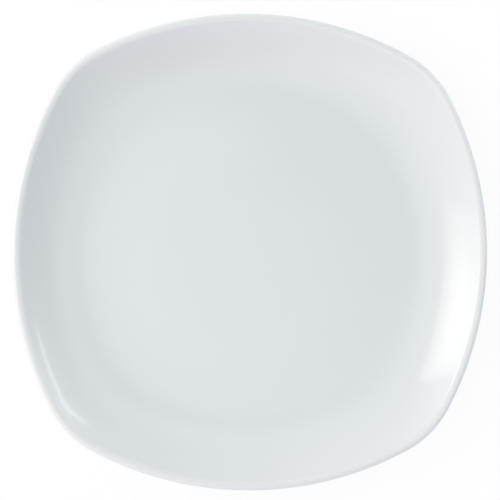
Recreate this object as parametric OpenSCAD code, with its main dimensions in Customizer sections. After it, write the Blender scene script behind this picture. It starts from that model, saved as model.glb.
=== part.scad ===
// Rounded-square dinner plate in glazed porcelain.
//
// The plate is one fired body with a glass coat on it. The body's level curves
// start as circles in the well and swell into the rounded square of the rim.
// Every level curve is built from the same directions: the point that belongs
// to direction a is where the curve faces a, on every level. So a point's
// outward normal leans up or down in direction a, and nowhere else, and the
// glaze is the same surface moved out along that normal.
//
// Origin: middle of the face that stands on the table. +Z is up, and the sides
// of the plate face +X, +Y, -X and -Y.

/* [Plate] */
// Width of the finished plate, across two opposite sides
plate_w = 270; // [240:1:310]
// Height of the finished plate, from the table to the top of the rim
plate_h = 25; // [21:0.5:32]

/* [Outline] */
// Radius of the bow of each side, seen from above
side_r = 190; // [165:1:300]
// Radius of each corner, seen from above
corner_r = 58; // [35:1:85]

/* [Well] */
// Diameter of the gully, the round lowest line of the well
gully_d = 180; // [165:1:200]
// Diameter of the level middle of the well
level_d = 96; // [40:1:130]
// Height of the level middle above the gully
crown_h = 0.9; // [0:0.1:2.5]
// Thickness of the body under the gully
floor_t = 4; // [3:0.1:6]

/* [Wall] */
// How late the inside of the wall sweeps up, where 1 is a straight slope
face_sweep = 2.5; // [1.8:0.05:2.8]
// How late the outside of the wall sweeps up
back_sweep = 3.2; // [2.6:0.05:3.8]

/* [Rim] */
// Radius of the roll that the rim ends in
roll_r = 2.2; // [1.5:0.1:3.5]
// Radius of the lip, from the top of the roll down into the wall
lip_r = 4; // [2.5:0.1:7]

/* [Foot] */
// Outer diameter of the foot's standing face
foot_d = 152; // [130:1:158]
// Width of the foot's standing face
stand_w = 3; // [2:0.1:5]
// Height of the foot below the outside of the wall
foot_h = 3; // [2.5:0.1:5]
// Lean of the foot's two sides, in degrees
foot_lean = 8; // [0:1:20]
// Radius of the foot's rounded toes
toe_r = 0.6; // [0.3:0.05:1]
// Radius of the hollow where the foot grows out of the body
root_r = 1; // [0.5:0.1:1.5]

/* [Base] */
// Depth of the recess inside the foot, at its edge
recess_h = 2.8; // [2.3:0.1:4]
// Further rise of the recess, at its middle
recess_crown_h = 1; // [0:0.1:2]

/* [Glaze] */
// Thickness of the glaze
glaze_t = 0.3; // [0.2:0.05:0.5]
// Height on the foot at which the glaze was wiped off
wipe_h = 1; // [0.8:0.05:1.1]

/* [Hidden] */

// Directions in a level curve, and steps along each stretch of the section
directions = 64;
crown_steps = 4;
wall_steps = 7;
lip_steps = 2;
roll_steps = 6;
back_steps = 5;
root_steps = 2;
toe_steps = 2;
recess_steps = 4;

// Heights of the body
body_top = plate_h - glaze_t;
gully_z = foot_h + floor_t;

// Distance from the finished outline to the top of the rim
crest_inset = glaze_t + roll_r;

// Centres of the side bows and of the corner arcs that touch them
bow_centre = plate_w / 2 - side_r;
corner_centre = (bow_centre + sqrt(2 * pow(side_r - corner_r, 2) - pow(bow_centre, 2))) / 2;
bow_half_angle = atan2(corner_centre, corner_centre - bow_centre);

// Radius at which the wall leaves the foot's outer root
back_start_r = foot_d / 2 + lean_reach(foot_h);
recess_r = foot_d / 2 - stand_w - lean_reach(recess_h);

// Directions, level curves and the places on them

function toward(a) = [cos(a), sin(a)];

// The angle of direction a from the side that it is nearest to
function off_side(a) = a - 90 * round(a / 90);

function on_bow(a) = abs(off_side(a)) <= bow_half_angle;

function arc_r(a) = on_bow(a) ? side_r : corner_r;

// Centre of the arc of the outline that faces direction a
function arc_centre(a) =
    let (side = a - off_side(a))
    on_bow(a)
        ? bow_centre * toward(side)
        : corner_centre * (toward(side) + toward(side + 90 * sign(off_side(a))));

// How far the outline reaches in direction a
function reach(a) = arc_centre(a) * toward(a) + arc_r(a);

// A place on the surface: share 0 lies on a circle of radius r, share 1 lies
// inside the outline by the inset, and the place between is in proportion.
// It keeps its normal's elevation: 90 is up, 0 is out and -90 is down.
function spot(a, share, r, inset, z, up) =
    let (
        out = (1 - share) * r + share * (arc_r(a) - inset),
        xy = share * arc_centre(a) + out * toward(a)
    )
    [[xy.x, xy.y, z], up, a];

function round_spot(a, r, z, up) = spot(a, 0, r, 0, z, up);

function rim_spot(a, inset, z, up) = spot(a, 1, 0, inset, z, up);

function point(s) = s[0];

// The same place moved out through a coat of thickness t
function coated(s, t) =
    let (flat = t * cos(s[1]) * toward(s[2]))
    s[0] + [flat.x, flat.y, t * sin(s[1])];

function steps(first, last, count) = [for (i = [1:count]) first + (last - first) * i / count];

// The face: a level middle, a crown that falls to the gully, and the wall

crown_span = (gully_d - level_d) / 2;

function crown_turn(r) = 180 * (r - level_d / 2) / crown_span;

function crown_z(r) = gully_z + crown_h * (1 + cos(crown_turn(r))) / 2;

function crown_slope(r) = -crown_h * PI / 2 * sin(crown_turn(r)) / crown_span;

function well(a) = [
    for (r = concat([level_d / 2], steps(level_d / 2, gully_d / 2, crown_steps)))
        round_spot(a, r, crown_z(r), 90 + atan(crown_slope(r)))
];

// The lip starts where it is as steep as the wall that comes up to it. The wall
// has further to go towards a corner, so this angle differs round the plate.
function lip_angle(a, guess = 30, tries = 5) =
    tries == 0 ? guess :
    let (
        rise = body_top - lip_r * (1 - cos(guess)) - gully_z,
        run = reach(a) - crest_inset - lip_r * sin(guess) - gully_d / 2
    )
    lip_angle(a, atan(face_sweep * rise / run), tries - 1);

function wall(a) =
    let (
        top = lip_angle(a),
        inset = crest_inset + lip_r * sin(top),
        rise = body_top - lip_r * (1 - cos(top)) - gully_z,
        run = reach(a) - inset - gully_d / 2
    )
    [
        for (share = steps(0, 1, wall_steps))
            spot(a, share, gully_d / 2, inset, gully_z + rise * pow(share, face_sweep),
                90 + atan(face_sweep * rise * pow(share, face_sweep - 1) / run))
    ];

// The rim: a lip that lies back into the wall, and a roll round to the outside

function lip(a) = [
    for (lean = steps(lip_angle(a), 0, lip_steps))
        rim_spot(a, crest_inset + lip_r * sin(lean), body_top - lip_r * (1 - cos(lean)), 90 + lean)
];

function back_angle(a, guess = 30, tries = 5) =
    tries == 0 ? guess :
    let (
        rise = body_top - roll_r * (1 + cos(guess)) - foot_h,
        run = reach(a) - crest_inset + roll_r * sin(guess) - back_start_r
    )
    back_angle(a, atan(back_sweep * rise / run), tries - 1);

function roll(a) = [
    for (up = concat(
        steps(90, 0, roll_steps / 2),
        steps(0, back_angle(a) - 90, roll_steps / 2)
    ))
        rim_spot(a, crest_inset - roll_r * cos(up), body_top - roll_r * (1 - sin(up)), up)
];

// The outside of the wall, from the roll back to the foot
function back(a) =
    let (
        top = back_angle(a),
        inset = crest_inset - roll_r * sin(top),
        rise = body_top - roll_r * (1 + cos(top)) - foot_h,
        run = reach(a) - inset - back_start_r
    )
    [
        for (share = steps(1, 0, back_steps))
            spot(a, share, back_start_r, inset, foot_h + rise * pow(share, back_sweep),
                atan(back_sweep * rise * pow(share, back_sweep - 1) / run) - 90)
    ];

// The foot: two leaning sides with a hollow root and a rounded toe each. A side
// stands on the ring where the standing face ends, at radius stand, and it
// faces out for way 1 and in for way -1.

function lean_reach(h) =
    (toe_r + root_r + (h - root_r - toe_r) * sin(foot_lean)) / cos(foot_lean);

function foot_spot(a, stand, way, off, z, up) =
    round_spot(a, stand + way * off, z, way > 0 ? up : -180 - up);

function root(a, stand, way, h) = [
    for (up = steps(-90, -foot_lean, root_steps))
        foot_spot(a, stand, way, lean_reach(h) - root_r * cos(up), h - root_r - root_r * sin(up), up)
];

function wipe_line(a, stand, way) =
    foot_spot(a, stand, way,
        toe_r * cos(foot_lean) + (wipe_h - toe_r + toe_r * sin(foot_lean)) * tan(foot_lean),
        wipe_h, -foot_lean);

function toe(a, stand, way) = [
    for (up = concat([-foot_lean], steps(-foot_lean, -90, toe_steps)))
        foot_spot(a, stand, way, toe_r * cos(up), toe_r + toe_r * sin(up), up)
];

// The roof of the recess inside the foot, which rises to its middle
function recess(a) = [
    for (i = [recess_steps:-1:1])
        let (r = recess_r * i / recess_steps, turn = 180 * i / recess_steps)
        round_spot(a, r, recess_h + recess_crown_h * (1 + cos(turn)) / 2,
            -90 - atan(recess_crown_h * PI / 2 * sin(turn) / recess_r))
];

function reversed(list) = [for (i = [len(list) - 1:-1:0]) list[i]];

// The section in direction a, in the three stretches that the glaze parts

stand_out = foot_d / 2;
stand_in = foot_d / 2 - stand_w;

function dish_section(a) = concat(
    well(a), wall(a), lip(a), roll(a), back(a),
    root(a, stand_out, 1, foot_h), [wipe_line(a, stand_out, 1)]
);

function bare_section(a) = concat(
    toe(a, stand_out, 1), reversed(toe(a, stand_in, -1))
);

function base_section(a) = concat(
    [wipe_line(a, stand_in, -1)], reversed(root(a, stand_in, -1, recess_h)), recess(a)
);

all_directions = [for (i = [0:directions - 1]) 360 * i / directions];

middle_top = [0, 0, gully_z + crown_h];
middle_under = [0, 0, recess_h + recess_crown_h];

// A closed skin over columns of points, one column in each direction. All the
// columns start at one pole, run down the outside and end at the other pole.
module skin(columns, first_pole, last_pole) {
    n = len(columns);
    m = len(columns[0]);
    function at(i, j) = (i % n) * m + j;
    polyhedron(
        points = concat([for (c = columns) each c], [first_pole, last_pole]),
        faces = concat(
            [for (i = [0:n - 1]) [n * m, at(i + 1, 0), at(i, 0)]],
            [for (i = [0:n - 1], j = [0:m - 2]) [at(i, j), at(i + 1, j), at(i + 1, j + 1)]],
            [for (i = [0:n - 1], j = [0:m - 2]) [at(i, j), at(i + 1, j + 1), at(i, j + 1)]],
            [for (i = [0:n - 1]) [at(i, m - 1), at(i + 1, m - 1), n * m + 1]]
        )
    );
}

module porcelain_body() {
    color([0.93, 0.92, 0.89])
        skin(
            [
                for (a = all_directions)
                    [for (s = concat(dish_section(a), bare_section(a), base_section(a))) point(s)]
            ],
            middle_top,
            middle_under
        );
}

module dish_glaze() {
    color([0.88, 0.91, 0.93])
        skin(
            [
                for (a = all_directions)
                    concat(
                        [for (s = dish_section(a)) coated(s, glaze_t)],
                        [for (s = reversed(dish_section(a))) point(s)]
                    )
            ],
            middle_top + [0, 0, glaze_t],
            middle_top
        );
}

module base_glaze() {
    color([0.86, 0.89, 0.91])
        skin(
            [
                for (a = all_directions)
                    concat(
                        [for (s = reversed(base_section(a))) point(s)],
                        [for (s = base_section(a)) coated(s, glaze_t)]
                    )
            ],
            middle_under,
            middle_under - [0, 0, glaze_t]
        );
}

porcelain_body();
dish_glaze();
base_glaze();
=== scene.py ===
"""A rounded-square dinner plate in glazed porcelain, on a white table in a soft, bright room.

The plate is three pieces: the fired body, the glaze on the dish and the glaze in the recess
under it. One geometry node tree makes all three. It walks along the plate's section, station
by station, in every direction round the plate, and each piece is one walk: the body goes the
whole way round, and a coat goes out along one of its faces and comes back along the other.
"""
import math

import bpy
from mathutils import Matrix, Vector


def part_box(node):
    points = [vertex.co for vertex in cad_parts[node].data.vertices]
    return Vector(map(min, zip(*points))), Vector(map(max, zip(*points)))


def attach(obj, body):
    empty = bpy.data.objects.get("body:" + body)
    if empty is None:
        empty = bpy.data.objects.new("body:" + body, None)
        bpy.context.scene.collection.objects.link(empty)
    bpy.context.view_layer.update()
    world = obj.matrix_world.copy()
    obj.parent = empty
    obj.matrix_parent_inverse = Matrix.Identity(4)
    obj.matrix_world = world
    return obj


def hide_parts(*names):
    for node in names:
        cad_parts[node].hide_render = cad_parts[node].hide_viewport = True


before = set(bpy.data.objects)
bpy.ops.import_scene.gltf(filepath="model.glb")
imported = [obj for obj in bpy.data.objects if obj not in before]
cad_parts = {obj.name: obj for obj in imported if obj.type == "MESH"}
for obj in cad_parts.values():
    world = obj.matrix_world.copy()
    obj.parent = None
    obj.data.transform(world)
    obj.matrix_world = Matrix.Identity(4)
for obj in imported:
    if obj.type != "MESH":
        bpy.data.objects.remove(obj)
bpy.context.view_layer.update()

MM = 0.001
QUARTER = math.pi / 2  # of a turn

# The plate's sizes, in metres, as the solids have them

dish_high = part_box("dish_glaze")[1]

SIZES = {
    "Half width": dish_high[0],
    "Height": dish_high[2],
    "Bow radius": 190 * MM,
    "Corner radius": 58 * MM,
    "Gully radius": 90 * MM,
    "Level radius": 48 * MM,
    "Crown height": 0.9 * MM,
    "Floor thickness": 4 * MM,
    "Roll radius": 2.2 * MM,
    "Lip radius": 4 * MM,
    "Foot radius": 76 * MM,
    "Stand width": 3 * MM,
    "Foot height": 3 * MM,
    "Toe radius": 0.6 * MM,
    "Root radius": 1 * MM,
    "Recess height": 2.8 * MM,
    "Recess crown": 1 * MM,
    "Glaze thickness": 0.3 * MM,
    "Wipe height": 1 * MM,
    "Wipe waver": 0.25 * MM,
}
SHAPES = {
    "Face sweep": 2.5,
    "Back sweep": 3.2,
    "Foot lean": math.radians(8),
}

# The section's stretches in order, from the middle of the face round to the middle of the
# recess, with the number of stations on each
STRETCHES = {
    "well": 40,
    "wall": 40,
    "lip": 8,
    "roll": 20,
    "back": 30,
    "outer root": 6,
    "outer side": 6,
    "outer bare side": 2,
    "outer toe": 5,
    "stand": 3,
    "inner toe": 5,
    "inner bare side": 2,
    "inner side": 6,
    "inner root": 6,
    "recess": 24,
}
DIRECTIONS = 256


def station_after(stretch):
    """The number of the last station on a stretch."""
    names = list(STRETCHES)
    return sum(STRETCHES[n] for n in names[: names.index(stretch) + 1])


# Formulas as nodes

class Field:
    """A number at every point of a node tree. Sums with fields make the nodes that work them out."""

    def __init__(self, socket):
        self.socket = socket

    def __add__(self, other):
        return math_node("ADD", self, other)

    def __radd__(self, other):
        return math_node("ADD", other, self)

    def __sub__(self, other):
        return math_node("SUBTRACT", self, other)

    def __rsub__(self, other):
        return math_node("SUBTRACT", other, self)

    def __mul__(self, other):
        return math_node("MULTIPLY", self, other)

    def __rmul__(self, other):
        return math_node("MULTIPLY", other, self)

    def __truediv__(self, other):
        return math_node("DIVIDE", self, other)

    def __neg__(self):
        return math_node("MULTIPLY", self, -1)

    def __pow__(self, other):
        return math_node("POWER", self, other)

    def __lt__(self, other):
        return math_node("LESS_THAN", self, other)


NODES_IN_A_COLUMN = 14
NODE_PITCH = Vector((190, -190))


def add_node(tree, kind, **settings):
    """A new node in the tree's next free place."""
    node = tree.nodes.new(kind)
    column, row = divmod(len(tree.nodes) - 1, NODES_IN_A_COLUMN)
    node.location = column * NODE_PITCH.x, row * NODE_PITCH.y
    for name, value in settings.items():
        setattr(node, name, value)
    return node


def feed(socket, value):
    """Links a field or a socket to a node's input, or writes a plain value on it."""
    if isinstance(value, Field):
        value = value.socket
    if isinstance(value, bpy.types.NodeSocket):
        socket.id_data.links.new(value, socket)
    else:
        socket.default_value = value


def tree_of(*values):
    """The node tree that the first field among the values belongs to."""
    return next(v for v in values if isinstance(v, Field)).socket.id_data


def math_node(operation, *values):
    """The field that a Math node works out from fields and plain numbers."""
    node = add_node(tree_of(*values), "ShaderNodeMath", operation=operation)
    for socket, value in zip(node.inputs, values):
        feed(socket, value)
    return Field(node.outputs["Value"])


def sin(x):
    """The sine of a field, or of a plain number."""
    return math_node("SINE", x) if isinstance(x, Field) else math.sin(x)


def cos(x):
    """The cosine of a field, or of a plain number."""
    return math_node("COSINE", x) if isinstance(x, Field) else math.cos(x)


def atan(x):
    return math_node("ARCTANGENT", x)


def sqrt(x):
    return math_node("SQRT", x)


def least(x, y):
    return math_node("MINIMUM", x, y)


def between(x, low, high):
    """x, held between low and high."""
    return math_node("MINIMUM", math_node("MAXIMUM", x, low), high)


def choose(condition, yes, no):
    """yes where the condition is 1 and no where it is 0, and a mix between."""
    node = add_node(tree_of(condition, yes, no), "ShaderNodeMix", data_type="FLOAT", clamp_factor=True)
    feed(node.inputs["Factor"], condition)
    feed(node.inputs["A"], no)
    feed(node.inputs["B"], yes)
    return Field(node.outputs["Result"])


def split(vector_socket):
    """A vector's x, y and z as fields."""
    node = add_node(vector_socket.id_data, "ShaderNodeSeparateXYZ")
    feed(node.inputs[0], vector_socket)
    return [Field(s) for s in node.outputs]


def join(x, y, z):
    """A vector's socket, from fields and plain numbers."""
    node = add_node(tree_of(x, y, z), "ShaderNodeCombineXYZ")
    for socket, value in zip(node.inputs, (x, y, z)):
        feed(socket, value)
    return node.outputs[0]


def noise(coords, grain, detail=2.0):
    """Noise about its middle, -1 to 1 at the most, with lumps about as wide as the grain."""
    node = add_node(coords.id_data, "ShaderNodeTexNoise")
    feed(node.inputs["Vector"], coords)
    feed(node.inputs["Scale"], 1 / grain)
    feed(node.inputs["Detail"], detail)
    return 2 * Field(node.outputs[0]) - 1


# The plate's rule

class Outline:
    """The rounded square in direction a: four bowed sides, and the corner arcs that touch them."""

    def __init__(self, size, a):
        self.a = a
        bow_centre = size["Half width"] - size["Bow radius"]
        spread = size["Bow radius"] - size["Corner radius"]
        corner_centre = (bow_centre + sqrt(2 * spread * spread - bow_centre * bow_centre)) / 2
        half_angle = math_node("ARCTAN2", corner_centre, corner_centre - bow_centre)
        side = QUARTER * math_node("ROUND", a / QUARTER)
        off_side = a - side
        next_side = side + QUARTER * math_node("SIGN", off_side)
        self.on_bow = math_node("ABSOLUTE", off_side) < half_angle
        self.arc_r = choose(self.on_bow, size["Bow radius"], size["Corner radius"])
        self.centre_x = choose(
            self.on_bow, bow_centre * cos(side), corner_centre * (cos(side) + cos(next_side))
        )
        self.centre_y = choose(
            self.on_bow, bow_centre * sin(side), corner_centre * (sin(side) + sin(next_side))
        )
        self.reach = self.centre_x * cos(a) + self.centre_y * sin(a) + self.arc_r


class Spot:
    """A place on the section. Share 0 is on a circle of radius r, and share 1 is inset from the
    outline. up is how far the surface's normal is turned up from straight out."""

    def __init__(self, share=0, r=0, inset=0, z=0, up=0):
        self.values = {"share": share, "r": r, "inset": inset, "z": z, "up": up}


SLOPE_ROUNDS = 4
FIRST_SLOPE = math.radians(35)


def settle(slope_of):
    """The slope at which a wall meets the arc at its end, found by going round a few times."""
    slope = FIRST_SLOPE
    for _ in range(SLOPE_ROUNDS):
        slope = slope_of(slope)
    return slope


def side_reach(size, height):
    """How far the foot's leaning side has come out at the height where its root ends."""
    lean, toe_r, root_r = size["Foot lean"], size["Toe radius"], size["Root radius"]
    return (toe_r + root_r + (height - root_r - toe_r) * sin(lean)) / cos(lean)


def back_start(size):
    """The radius at which the back begins, outside the foot."""
    return size["Foot radius"] + side_reach(size, size["Foot height"])


def recess_reach(size):
    """The radius of the recess, inside the foot."""
    return size["Foot radius"] - size["Stand width"] - side_reach(size, size["Recess height"])


# The noise that the wiped line follows: the radius of the circle on which it is read, and how
# far apart in it the two lines lie
WANDER_RADIUS = 6
WANDER_GAP = 10


def wiped(size, outline, line):
    """The height at which the sponge left the glaze, which wanders a little round the foot."""
    across, along = WANDER_RADIUS * cos(outline.a), WANDER_RADIUS * sin(outline.a)
    wander = noise(join(across, along, WANDER_GAP * line), grain=1.0, detail=1.0)
    return size["Wipe height"] + size["Wipe waver"] / 2 * wander


def section(size, outline):
    """For each stretch, a function from the share q of the stretch to a spot."""
    body_top = size["Height"] - size["Glaze thickness"]
    gully_z = size["Foot height"] + size["Floor thickness"]
    crest = size["Glaze thickness"] + size["Roll radius"]
    lip_r, roll_r = size["Lip radius"], size["Roll radius"]
    toe_r, root_r = size["Toe radius"], size["Root radius"]
    lean = size["Foot lean"]
    stand_out = size["Foot radius"]
    stand_in = size["Foot radius"] - size["Stand width"]
    back_r, recess_r = back_start(size), recess_reach(size)

    def face_rise(slope):
        return body_top - gully_z - lip_r * (1 - cos(slope))

    def face_run(slope):
        return outline.reach - crest - size["Gully radius"] - lip_r * sin(slope)

    def back_rise(slope):
        return body_top - size["Foot height"] - roll_r * (1 + cos(slope))

    def back_run(slope):
        return outline.reach - crest - back_r + roll_r * sin(slope)

    face_sweep, back_sweep = size["Face sweep"], size["Back sweep"]
    face_top = settle(lambda slope: atan(face_sweep * face_rise(slope) / face_run(slope)))
    back_top = settle(lambda slope: atan(back_sweep * back_rise(slope) / back_run(slope)))
    rise, run = face_rise(face_top), face_run(face_top)
    under_rise, under_run = back_rise(back_top), back_run(back_top)

    def well(q):
        r = q * size["Gully radius"]
        span = size["Gully radius"] - size["Level radius"]
        turn = math.pi * between((r - size["Level radius"]) / span, 0, 1)
        fall = atan(size["Crown height"] * math.pi / 2 / span * sin(turn))
        z = gully_z + size["Crown height"] * (1 + cos(turn)) / 2
        return Spot(r=r, z=z, up=QUARTER - fall)

    def wall(q):
        slope = atan(face_sweep * rise / run * q ** (face_sweep - 1))
        inset = crest + lip_r * sin(face_top)
        z = gully_z + rise * q ** face_sweep
        return Spot(share=q, r=size["Gully radius"], inset=inset, z=z, up=QUARTER + slope)

    def lip(q):
        slope = face_top * (1 - q)
        inset = crest + lip_r * sin(slope)
        z = body_top - lip_r * (1 - cos(slope))
        return Spot(share=1, inset=inset, z=z, up=QUARTER + slope)

    def roll(q):
        up = QUARTER - q * (math.pi - back_top)
        z = body_top - roll_r * (1 - sin(up))
        return Spot(share=1, inset=crest - roll_r * cos(up), z=z, up=up)

    def back(q):
        share = 1 - q
        slope = atan(back_sweep * under_rise / under_run * share ** (back_sweep - 1))
        inset = crest - roll_r * sin(back_top)
        z = size["Foot height"] + under_rise * share ** back_sweep
        return Spot(share=share, r=back_r, inset=inset, z=z, up=slope - QUARTER)

    def foot(stand, way, off, z, up):
        return Spot(r=stand + way * off, z=z, up=up if way > 0 else -math.pi - up)

    def root(q, stand, way, h):
        up = -QUARTER + q * (QUARTER - lean)
        off = side_reach(size, h) - root_r * cos(up)
        return foot(stand, way, off, h - root_r - root_r * sin(up), up)

    def side(q, stand, way, high, low):
        z = high + (low - high) * q
        off = toe_r * cos(lean) + (z - toe_r + toe_r * sin(lean)) * sin(lean) / cos(lean)
        return foot(stand, way, off, z, -lean)

    def toe(q, stand, way):
        up = -lean - q * (QUARTER - lean)
        return foot(stand, way, toe_r * cos(up), toe_r * (1 + sin(up)), up)

    def stand(q):
        return Spot(r=stand_out - q * size["Stand width"], up=-QUARTER)

    def recess(q):
        r = recess_r * (1 - q)
        turn = math.pi * (1 - q)
        fall = atan(size["Recess crown"] * math.pi / 2 / recess_r * sin(turn))
        z = size["Recess height"] + size["Recess crown"] * (1 + cos(turn)) / 2
        return Spot(r=r, z=z, up=-QUARTER - fall)

    foot_h, recess_h = size["Foot height"], size["Recess height"]
    root_drop = root_r * (1 - sin(lean))
    toe_top = toe_r * (1 - sin(lean))
    outer_wipe = wiped(size, outline, 0)
    inner_wipe = wiped(size, outline, 1)
    return {
        "well": well,
        "wall": wall,
        "lip": lip,
        "roll": roll,
        "back": back,
        "outer root": lambda q: root(q, stand_out, 1, foot_h),
        "outer side": lambda q: side(q, stand_out, 1, foot_h - root_drop, outer_wipe),
        "outer bare side": lambda q: side(q, stand_out, 1, outer_wipe, toe_top),
        "outer toe": lambda q: toe(q, stand_out, 1),
        "stand": stand,
        "inner toe": lambda q: toe(1 - q, stand_in, -1),
        "inner bare side": lambda q: side(1 - q, stand_in, -1, inner_wipe, toe_top),
        "inner side": lambda q: side(1 - q, stand_in, -1, recess_h - root_drop, inner_wipe),
        "inner root": lambda q: root(1 - q, stand_in, -1, recess_h),
        "recess": recess,
    }


HALF_STEP = 0.5  # stations are whole numbers, so half a step tells them apart


def spot_at(station, size, outline):
    """Joins the stretches into one section, which a station's number runs along."""
    stretches = section(size, outline)
    joined = None
    for name in reversed(STRETCHES):
        end = station_after(name)
        start = end - STRETCHES[name]
        values = stretches[name](between((station - start) / STRETCHES[name], 0, 1)).values
        if joined is None:
            joined = values
        else:
            on_this = station < end + HALF_STEP
            joined = {k: choose(on_this, values[k], joined[k]) for k in joined}
    return joined


# What a walk is told: where it starts and which way it goes, the step at which it turns back,
# how far off the clay it lies going and coming, and where and how softly a coat ends
WALK = ("First station", "Way", "Fold", "Coat out", "Coat back", "Edge station", "Bead stations")
BEAD_STATIONS = 3
TUBE_RADIUS = 1.0
TUBE_HALF = 0.5  # of its height


def plate_tree():
    """The tree that makes a piece of the plate. Its inputs are the plate's sizes and the walk."""
    tree = bpy.data.node_groups.new("Plate section walk", "GeometryNodeTree")
    tree.interface.new_socket(name="Geometry", in_out="OUTPUT", socket_type="NodeSocketGeometry")
    floats = list(SIZES) + list(SHAPES) + list(WALK)
    for name in floats:
        tree.interface.new_socket(name=name, in_out="INPUT", socket_type="NodeSocketFloat")
    for name in ("Directions", "Steps"):
        tree.interface.new_socket(name=name, in_out="INPUT", socket_type="NodeSocketInt")
    tree.interface.new_socket(name="Finish", in_out="INPUT", socket_type="NodeSocketMaterial")
    given = add_node(tree, "NodeGroupInput").outputs
    size = {name: Field(given[name]) for name in floats}

    # A tube with closed ends: its height counts the stations, and its turn is the direction
    tube = add_node(tree, "GeometryNodeMeshCylinder", fill_type="TRIANGLE_FAN")
    feed(tube.inputs["Vertices"], given["Directions"])
    feed(tube.inputs["Side Segments"], given["Steps"])
    feed(tube.inputs["Radius"], TUBE_RADIUS)
    feed(tube.inputs["Depth"], 2 * TUBE_HALF)
    x, y, z = split(add_node(tree, "GeometryNodeInputPosition").outputs[0])
    direction = math_node("ARCTAN2", y, x)
    on_ring = between(x * x + y * y, 0, 1)  # 0 in the middle of the tube's ends
    ring = math_node("ROUND", (TUBE_HALF - z) / (2 * TUBE_HALF) * Field(given["Steps"]))
    station = size["First station"] + size["Way"] * least(ring, size["Fold"] - ring)
    going = ring < size["Fold"] / 2
    off_edge = math_node("ABSOLUTE", station - size["Edge station"])
    from_edge = between(off_edge / size["Bead stations"], 0, 1)
    bead = sqrt(from_edge * (2 - from_edge))
    coat = bead * choose(going, size["Coat out"], size["Coat back"])

    outline = Outline(size, direction)
    spot = spot_at(station, size, outline)
    out = choose(spot["share"], outline.arc_r - spot["inset"], spot["r"]) + coat * cos(spot["up"])
    place = join(
        on_ring * (spot["share"] * outline.centre_x + out * cos(direction)),
        on_ring * (spot["share"] * outline.centre_y + out * sin(direction)),
        spot["z"] + coat * sin(spot["up"]),
    )
    move = add_node(tree, "GeometryNodeSetPosition")
    feed(move.inputs["Geometry"], tube.outputs["Mesh"])
    feed(move.inputs["Position"], place)
    smooth = add_node(tree, "GeometryNodeSetShadeSmooth")
    feed(smooth.inputs["Geometry"], move.outputs["Geometry"])
    real = add_node(tree, "GeometryNodeRealizeInstances")
    feed(real.inputs["Geometry"], smooth.outputs["Geometry"])
    finish = add_node(tree, "GeometryNodeSetMaterial")
    feed(finish.inputs["Geometry"], real.outputs["Geometry"])
    feed(finish.inputs["Material"], given["Finish"])
    feed(add_node(tree, "NodeGroupOutput").inputs["Geometry"], finish.outputs["Geometry"])
    return tree


def walk_piece(name, tree, material, first, last, coat_out=0.0, coat_back=None, edge=0):
    """A piece made by one walk along the section, and back again if coat_back is given."""
    stations = abs(last - first) + 1
    there_and_back = coat_back is not None
    steps = 2 * stations - 1 if there_and_back else stations - 1
    values = {
        **SIZES,
        **SHAPES,
        "First station": first,
        "Way": 1 if last > first else -1,
        "Fold": steps if there_and_back else 2 * steps,
        "Coat out": coat_out,
        "Coat back": coat_back or 0.0,
        "Edge station": edge,
        "Bead stations": BEAD_STATIONS,
        "Directions": DIRECTIONS,
        "Steps": steps,
        "Finish": material,
    }
    maker = bpy.data.objects.new(name, bpy.data.meshes.new(name))
    bpy.context.scene.collection.objects.link(maker)
    modifier = maker.modifiers.new("Section walk", "NODES")
    modifier.node_group = tree
    for item in tree.interface.items_tree:
        if item.in_out == "INPUT":
            value = values[item.name]
            modifier[item.identifier] = float(value) if item.socket_type == "NodeSocketFloat" else value
    graph = bpy.context.evaluated_depsgraph_get()
    mesh = bpy.data.meshes.new_from_object(maker.evaluated_get(graph), depsgraph=graph)
    maker.modifiers.clear()
    maker.data = mesh
    return maker


# Finishes

def new_material(name):
    """A material and its shader."""
    material = bpy.data.materials.new(name)
    material.use_nodes = True
    return material, material.node_tree.nodes["Principled BSDF"]


def places(shader):
    """Where each point of the plate lies, in metres."""
    return add_node(shader.id_data, "ShaderNodeTexCoord").outputs["Object"]


def dots(coords, pitch, radius):
    """1 in the middle of sparse round dots and 0 between them."""
    node = add_node(coords.id_data, "ShaderNodeTexVoronoi")
    feed(node.inputs["Vector"], coords)
    feed(node.inputs["Scale"], 1 / pitch)
    away = Field(node.outputs["Distance"]) * pitch
    return between(1 - away / radius, 0, 1)


def blend_colour(share, first, second):
    """The first colour at share 0 and the second at share 1."""
    node = add_node(tree_of(share), "ShaderNodeMix", data_type="RGBA", clamp_factor=True)
    feed(node.inputs["Factor"], share)
    for name, colour in (("A", first), ("B", second)):
        socket = next(i for i in node.inputs if i.name == name and i.type == "RGBA")
        feed(socket, colour if isinstance(colour, bpy.types.NodeSocket) else (*colour, 1))
    return next(o for o in node.outputs if o.type == "RGBA")


def relief(shader, height, depth):
    """Raises the surface by the height times the depth."""
    node = add_node(shader.id_data, "ShaderNodeBump")
    feed(node.inputs["Strength"], 1.0)
    feed(node.inputs["Distance"], depth)
    feed(node.inputs["Height"], height)
    feed(shader.inputs["Normal"], node.outputs[0])


GLAZE = (0.720, 0.759, 0.773)
GLAZE_COOL = (0.709, 0.744, 0.757)
GLAZE_THIN = (0.775, 0.777, 0.777)
GLAZE_POOLED = (0.640, 0.700, 0.735)
# The tone drifts slowly over the plate. It is thin down to a depth below the rim's top, and
# pooled in a root of the foot, up to a height above which the pool fades out.
DRIFT_WIDTH = 55 * MM
THIN_DEPTH = 1.2 * MM
THIN_SHARE = 0.6
POOL_WIDTH = 1.6 * MM
POOL_TOP = 3.5 * MM
POOL_FADE = 1.5 * MM
POOL_SHARE = 0.8
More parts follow.
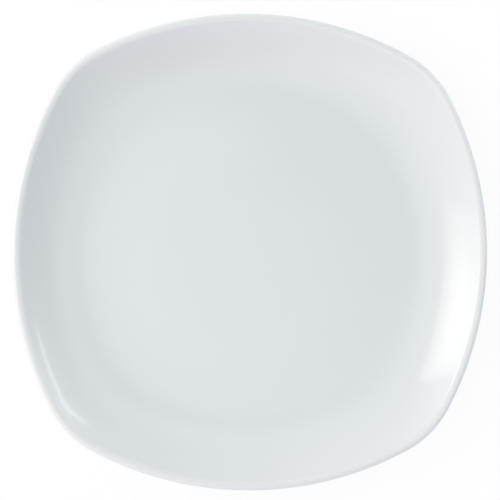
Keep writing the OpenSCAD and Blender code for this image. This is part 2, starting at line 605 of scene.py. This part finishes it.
# The skin: how rough it is and how that drifts, and the shares of the ripple, the peel and the
# pits in its relief
GLAZE_IOR = 1.51
GLAZE_ROUGHNESS = 0.085
ROUGHNESS_DRIFT = 0.02
ROUGHNESS_WIDTH = 22 * MM
RIPPLE_WIDTH = 16 * MM
RIPPLE_SHARE = 0.4
PEEL_WIDTH = 1.6 * MM
PEEL_SHARE = 0.03
PIT_PITCH = 14 * MM
PIT_RADIUS = 0.16 * MM
PIT_SHARE = 0.5
SKIN_DEPTH = 0.02 * MM


def glaze(name, pool_radius):
    """Clear gloss glaze: cooler where it lies thicker, whiter where the rim thins it, and with
    the long ripple and fine peel that a fired glass skin has."""
    material, shader = new_material(name)
    coords = places(shader)
    x, y, z = split(coords)
    drift = noise(coords, DRIFT_WIDTH)
    colour = blend_colour((1 + drift) / 2, GLAZE, GLAZE_COOL)
    thin = between((z - (SIZES["Height"] - THIN_DEPTH)) / THIN_DEPTH, 0, 1)
    colour = blend_colour(THIN_SHARE * thin, colour, GLAZE_THIN)
    off_pool = (sqrt(x * x + y * y) - pool_radius) / POOL_WIDTH
    low_down = between(1 - (z - POOL_TOP) / POOL_FADE, 0, 1)
    pooled = math_node("EXPONENT", -(off_pool * off_pool)) * low_down
    feed(shader.inputs["Base Color"], blend_colour(POOL_SHARE * pooled, colour, GLAZE_POOLED))
    roughness = GLAZE_ROUGHNESS + ROUGHNESS_DRIFT * noise(coords, ROUGHNESS_WIDTH)
    feed(shader.inputs["Roughness"], roughness)
    feed(shader.inputs["IOR"], GLAZE_IOR)
    ripple = noise(coords, RIPPLE_WIDTH, detail=1.0)
    peel = noise(coords, PEEL_WIDTH, detail=1.0)
    pits = dots(coords, PIT_PITCH, PIT_RADIUS)
    relief(shader, RIPPLE_SHARE * ripple + PEEL_SHARE * peel - PIT_SHARE * pits, SKIN_DEPTH)
    return material


BISCUIT = (0.735, 0.712, 0.665)
BISCUIT_RUBBED = (0.640, 0.615, 0.570)
BISCUIT_SPECK = (0.400, 0.350, 0.290)
# The body's grain and the clouds in it, with their shares in its relief
GRAIN_WIDTH = 0.25 * MM
GRAIN_SHARE = 0.35
CLOUD_WIDTH = 6 * MM
CLOUD_SHARE = 0.15
GROUND_DEPTH = 0.018 * MM
# Rubbing reaches up to a height, covers about this much of the face, and more or less with the
# clouds
RUB_HEIGHT = 0.25 * MM
RUB_COVER = 0.55
RUB_CLOUDS = 0.9
RUBBED_SHARE = 0.55
SPECK_PITCH = 1.7 * MM
SPECK_RADIUS = 0.13 * MM
SPECK_SHARE = 0.8
BARE_ROUGHNESS = 0.62
RUBBED_SMOOTHER = 0.18
GRAIN_ROUGHER = 0.08


def bare_porcelain():
    """Vitrified body where no glaze is: matt, with a fine grain, ground smooth where it stands."""
    material, shader = new_material("bare porcelain")
    coords = places(shader)
    z = split(coords)[2]
    grain = noise(coords, GRAIN_WIDTH, detail=3.0)
    cloud = noise(coords, CLOUD_WIDTH)
    rubbed = between(1 - z / RUB_HEIGHT, 0, 1) * between(RUB_COVER + RUB_CLOUDS * cloud, 0, 1)
    colour = blend_colour(RUBBED_SHARE * rubbed, BISCUIT, BISCUIT_RUBBED)
    specks = dots(coords, SPECK_PITCH, SPECK_RADIUS)
    feed(shader.inputs["Base Color"], blend_colour(SPECK_SHARE * specks, colour, BISCUIT_SPECK))
    roughness = BARE_ROUGHNESS - RUBBED_SMOOTHER * rubbed + GRAIN_ROUGHER * grain
    feed(shader.inputs["Roughness"], roughness)
    relief(shader, GRAIN_SHARE * grain + CLOUD_SHARE * cloud, GROUND_DEPTH)
    return material


# The three pieces. A walk starts or ends one station off the middle of the plate, and the tube's
# closed end fills in the rest.

plate_sizes = {**SIZES, **SHAPES}
dish_glaze = glaze("dish glaze", back_start(plate_sizes))
base_glaze = glaze("base glaze", recess_reach(plate_sizes))
biscuit = bare_porcelain()

section_walk = plate_tree()
glaze_t = SIZES["Glaze thickness"]
first_station, last_station = 1, station_after("recess") - 1
outer_edge, inner_edge = station_after("outer side"), station_after("inner bare side")

body = walk_piece("fired_body", section_walk, biscuit, first_station, last_station)
dish_coat = walk_piece("dish_coat", section_walk, dish_glaze, first_station, outer_edge,
                       coat_out=glaze_t, coat_back=0.0, edge=outer_edge)
base_coat = walk_piece("base_coat", section_walk, base_glaze, last_station, inner_edge,
                       coat_out=0.0, coat_back=glaze_t, edge=inner_edge)

for piece, node, slot in (
    (body, "porcelain_body", "biscuit"),
    (dish_coat, "dish_glaze", "dish_glaze"),
    (base_coat, "base_glaze", "base_glaze"),
):
    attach(piece, "root")
    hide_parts(node)

# The table, the light and the camera

def seen_white(tree, gloss_share=1.0):
    """1 for what the camera sees straight or through glass, the gloss share for what a gloss
    shows, and 0 for other light."""
    path = add_node(tree, "ShaderNodeLightPath").outputs
    sight = Field(path["Is Camera Ray"])
    gloss = Field(path["Is Glossy Ray"])
    glass = Field(path["Is Transmission Ray"])
    return between(sight + glass + gloss_share * gloss, 0, 1)


TABLE_HALF = 12.0
TABLE_WHITE = (0.88, 0.88, 0.88)
TABLE_ROUGHNESS = 0.9
TABLE_GLOW = 0.1
SHADOW_SHARE = 0.12


def table():
    """A white table that glows a little by itself. The camera sees it white, but for a share of
    the plate's shadow, and sees through it from below."""
    mesh = bpy.data.meshes.new("table")
    corners = [(-1, -1), (1, -1), (1, 1), (-1, 1)]
    points = [(x * TABLE_HALF, y * TABLE_HALF, 0) for x, y in corners]
    mesh.from_pydata(points, [], [range(len(corners))])
    thing = bpy.data.objects.new("table", mesh)
    bpy.context.scene.collection.objects.link(thing)
    material, shader = new_material("white table")
    tree = shader.id_data
    feed(shader.inputs["Base Color"], (*TABLE_WHITE, 1))
    feed(shader.inputs["Roughness"], TABLE_ROUGHNESS)
    feed(shader.inputs["Specular IOR Level"], 0.0)
    feed(shader.inputs["Emission Color"], (1, 1, 1, 1))
    feed(shader.inputs["Emission Strength"], TABLE_GLOW)
    white = add_node(tree, "ShaderNodeEmission")
    seen = add_node(tree, "ShaderNodeMixShader")
    feed(seen.inputs[0], (1 - SHADOW_SHARE) * seen_white(tree))
    feed(seen.inputs[1], shader.outputs[0])
    feed(seen.inputs[2], white.outputs[0])
    from_below = add_node(tree, "ShaderNodeMixShader")
    feed(from_below.inputs[0], add_node(tree, "ShaderNodeNewGeometry").outputs["Backfacing"])
    feed(from_below.inputs[1], seen.outputs[0])
    feed(from_below.inputs[2], add_node(tree, "ShaderNodeBsdfTransparent").outputs[0])
    feed(tree.nodes["Material Output"].inputs["Surface"], from_below.outputs[0])
    mesh.materials.append(material)


# The room round the plate: soft bright places on its walls and ceiling, and the shade of the
# camera overhead
PATCHES = {
    "front window": {
        "azimuth": -87.5, "elevation": -12, "sharpness": 5.29, "glow": 2.76, "tint": (1.0, 0.94, 1.06)},
    "back window": {
        "azimuth": 151, "elevation": 0, "sharpness": 3.12, "glow": 2.41, "tint": (1.01, 0.98, 1.01)},
    "right reflector": {
        "azimuth": 34, "elevation": 10, "sharpness": 13, "glow": 3.3, "tint": (1.03, 1.01, 0.98)},
    "ceiling": {
        "azimuth": 42, "elevation": 78.8, "sharpness": 7.4, "glow": 0.88, "tint": (0.84, 1.09, 1.06)},
    "upper right wall": {
        "azimuth": 18, "elevation": 55, "sharpness": 20, "glow": 0.62, "tint": (1.02, 0.96, 1.06)},
    "right wall": {
        "azimuth": -47, "elevation": 40, "sharpness": 17.9, "glow": 0.20, "tint": (0.85, 0.85, 1.15)},
    "front reflector": {
        "azimuth": -116, "elevation": 50, "sharpness": 10.3, "glow": 1.31, "tint": (1.07, 1.03, 0.95)},
    "camera's shade": {
        "azimuth": 39, "elevation": 76.7, "sharpness": 47.0, "glow": -1.10, "tint": (0.94, 1.17, 0.88)},
}
SWEEP_GLOW = 0.85
SWEEP_TOP = math.radians(8)


def toward(azimuth, elevation):
    """The direction of a place in the room, in degrees from the plate's right and from level."""
    a, e = math.radians(azimuth), math.radians(elevation)
    return Vector((math.cos(e) * math.cos(a), math.cos(e) * math.sin(a), math.sin(e)))


def along(way, direction):
    """How far a way, given as fields, goes along a direction."""
    return way[0] * direction.x + way[1] * direction.y + way[2] * direction.z


def room(patches, sweep_glow):
    """The room as the world's light, with one field for each of red, green and blue."""
    world = bpy.data.worlds.new("room")
    bpy.context.scene.world = world
    world.use_nodes = True
    tree = world.node_tree
    way = split(add_node(tree, "ShaderNodeTexCoord").outputs["Generated"])
    channels = [0 * way[2]] * 3
    for patch in patches.values():
        off = along(way, toward(patch["azimuth"], patch["elevation"])) - 1
        shine = patch["glow"] * math_node("EXPONENT", patch["sharpness"] * off)
        channels = [channel + tint * shine for channel, tint in zip(channels, patch["tint"])]
    # The table's white paper rises a little all round
    sweep = between(1 - way[2] / math.sin(SWEEP_TOP), 0, 1)
    channels = [choose(sweep, sweep_glow, math_node("MAXIMUM", channel, 0)) for channel in channels]
    # Paper is all that the camera sees past the table, and the glaze shows it as high as it rises
    white = seen_white(tree, sweep)
    channels = [choose(white, 1.0, channel) for channel in channels]
    background = tree.nodes["Background"]
    feed(background.inputs["Color"], join(*channels))
    feed(background.inputs["Strength"], 1.0)


LAMP_DISTANCE = 1.26
PANEL_MIDDLE = 0.5  # in shares of its width and its height


def softbox(name, azimuth, elevation, width, height, turn, glow, tint, bulb):
    """A panel that faces the plate, with its middle in that direction. Its bulb is brightest at a
    place off the middle and fades away from there."""
    away = toward(azimuth, elevation)
    level = Vector((-away.y, away.x, 0)).normalized()
    side = level * math.cos(turn) + away.cross(level) * math.sin(turn)
    data = bpy.data.lights.new(name, "AREA")
    data.shape = "RECTANGLE"
    data.size, data.size_y = width, height
    # The power at which a panel of this size shines with this glow
    data.energy = glow * math.pi * width * height
    data.color = tint
    data.use_nodes = True
    across, up, _ = split(add_node(data.node_tree, "ShaderNodeNewGeometry").outputs["Parametric"])
    off_x = ((across - PANEL_MIDDLE) * width - bulb["off_x"]) / bulb["spread_x"]
    off_y = ((up - PANEL_MIDDLE) * height - bulb["off_y"]) / bulb["spread_y"]
    fade = math_node("EXPONENT", -(off_x * off_x + off_y * off_y))
    feed(data.node_tree.nodes["Emission"].inputs["Strength"], fade)
    lamp = bpy.data.objects.new(name, data)
    bpy.context.scene.collection.objects.link(lamp)
    axes = Matrix((side, away.cross(side), away)).transposed().to_4x4()
    lamp.matrix_world = Matrix.Translation(LAMP_DISTANCE * away) @ axes
    lamp.visible_camera = False


# The key makes the broad highlight on the right wall, and the strip the thin line along the near
# left wall. Directions are in degrees, a turn about them in radians, and sizes in metres.
LAMPS = {
    "key softbox": {
        "azimuth": 171.5, "elevation": 35, "width": 0.58, "height": 1.18, "turn": 0.05,
        "glow": 3.45, "tint": (1.14, 1.0, 0.88),
        "bulb": {"off_x": -0.09, "off_y": 0.06, "spread_x": 0.34, "spread_y": 0.50}},
    "strip light": {
        "azimuth": 29, "elevation": 26, "width": 0.80, "height": 0.07, "turn": 0.5,
        "glow": 2.9, "tint": (1.0, 1.0, 1.0),
        "bulb": {"off_x": 0.0, "off_y": 0.0, "spread_x": 0.6, "spread_y": 0.6}},
}

# The camera's place is from the middle of the foot's standing face, and where the middle of the
# rim lies in the picture is from its top left corner
PICTURE_PX = 500
SENSOR_MM = 36
EYE = Vector((-42.5, -12.8, 613.9)) * MM
RIM_MIDDLE_PX = Vector((252.99, 250.87))
FOCAL_PX = 1046.98
ROLL = math.radians(0.48)
NEAREST_SEEN = 10 * MM


def camera():
    """Looks down at the plate as the photograph does, from a little to the left."""
    data = bpy.data.cameras.new("camera")
    data.sensor_width = SENSOR_MM
    data.lens = SENSOR_MM * FOCAL_PX / PICTURE_PX
    data.clip_start = NEAREST_SEEN
    thing = bpy.data.objects.new("camera", data)
    bpy.context.scene.collection.objects.link(thing)
    rim_middle = Vector((0, 0, SIZES["Height"] - SIZES["Glaze thickness"] - SIZES["Roll radius"]))
    look = (rim_middle - EYE).normalized()
    level = look.cross(Vector((0, 1, 0))).normalized()
    right = level * math.cos(ROLL) + level.cross(look) * math.sin(ROLL)
    up = right.cross(look)
    # Aims past the rim's middle by as much as that lies off the middle of the picture
    off = RIM_MIDDLE_PX - Vector((PICTURE_PX, PICTURE_PX)) / 2
    look = (look - right * off.x / FOCAL_PX + up * off.y / FOCAL_PX).normalized()
    right = look.cross(up).normalized()
    axes = Matrix((right, right.cross(look), -look)).transposed().to_4x4()
    thing.matrix_world = Matrix.Translation(EYE) @ axes
    bpy.context.scene.camera = thing


table()
room(PATCHES, SWEEP_GLOW)
for name, lamp in LAMPS.items():
    softbox(name, **lamp)
camera()
bpy.context.scene.view_settings.view_transform = "Standard"
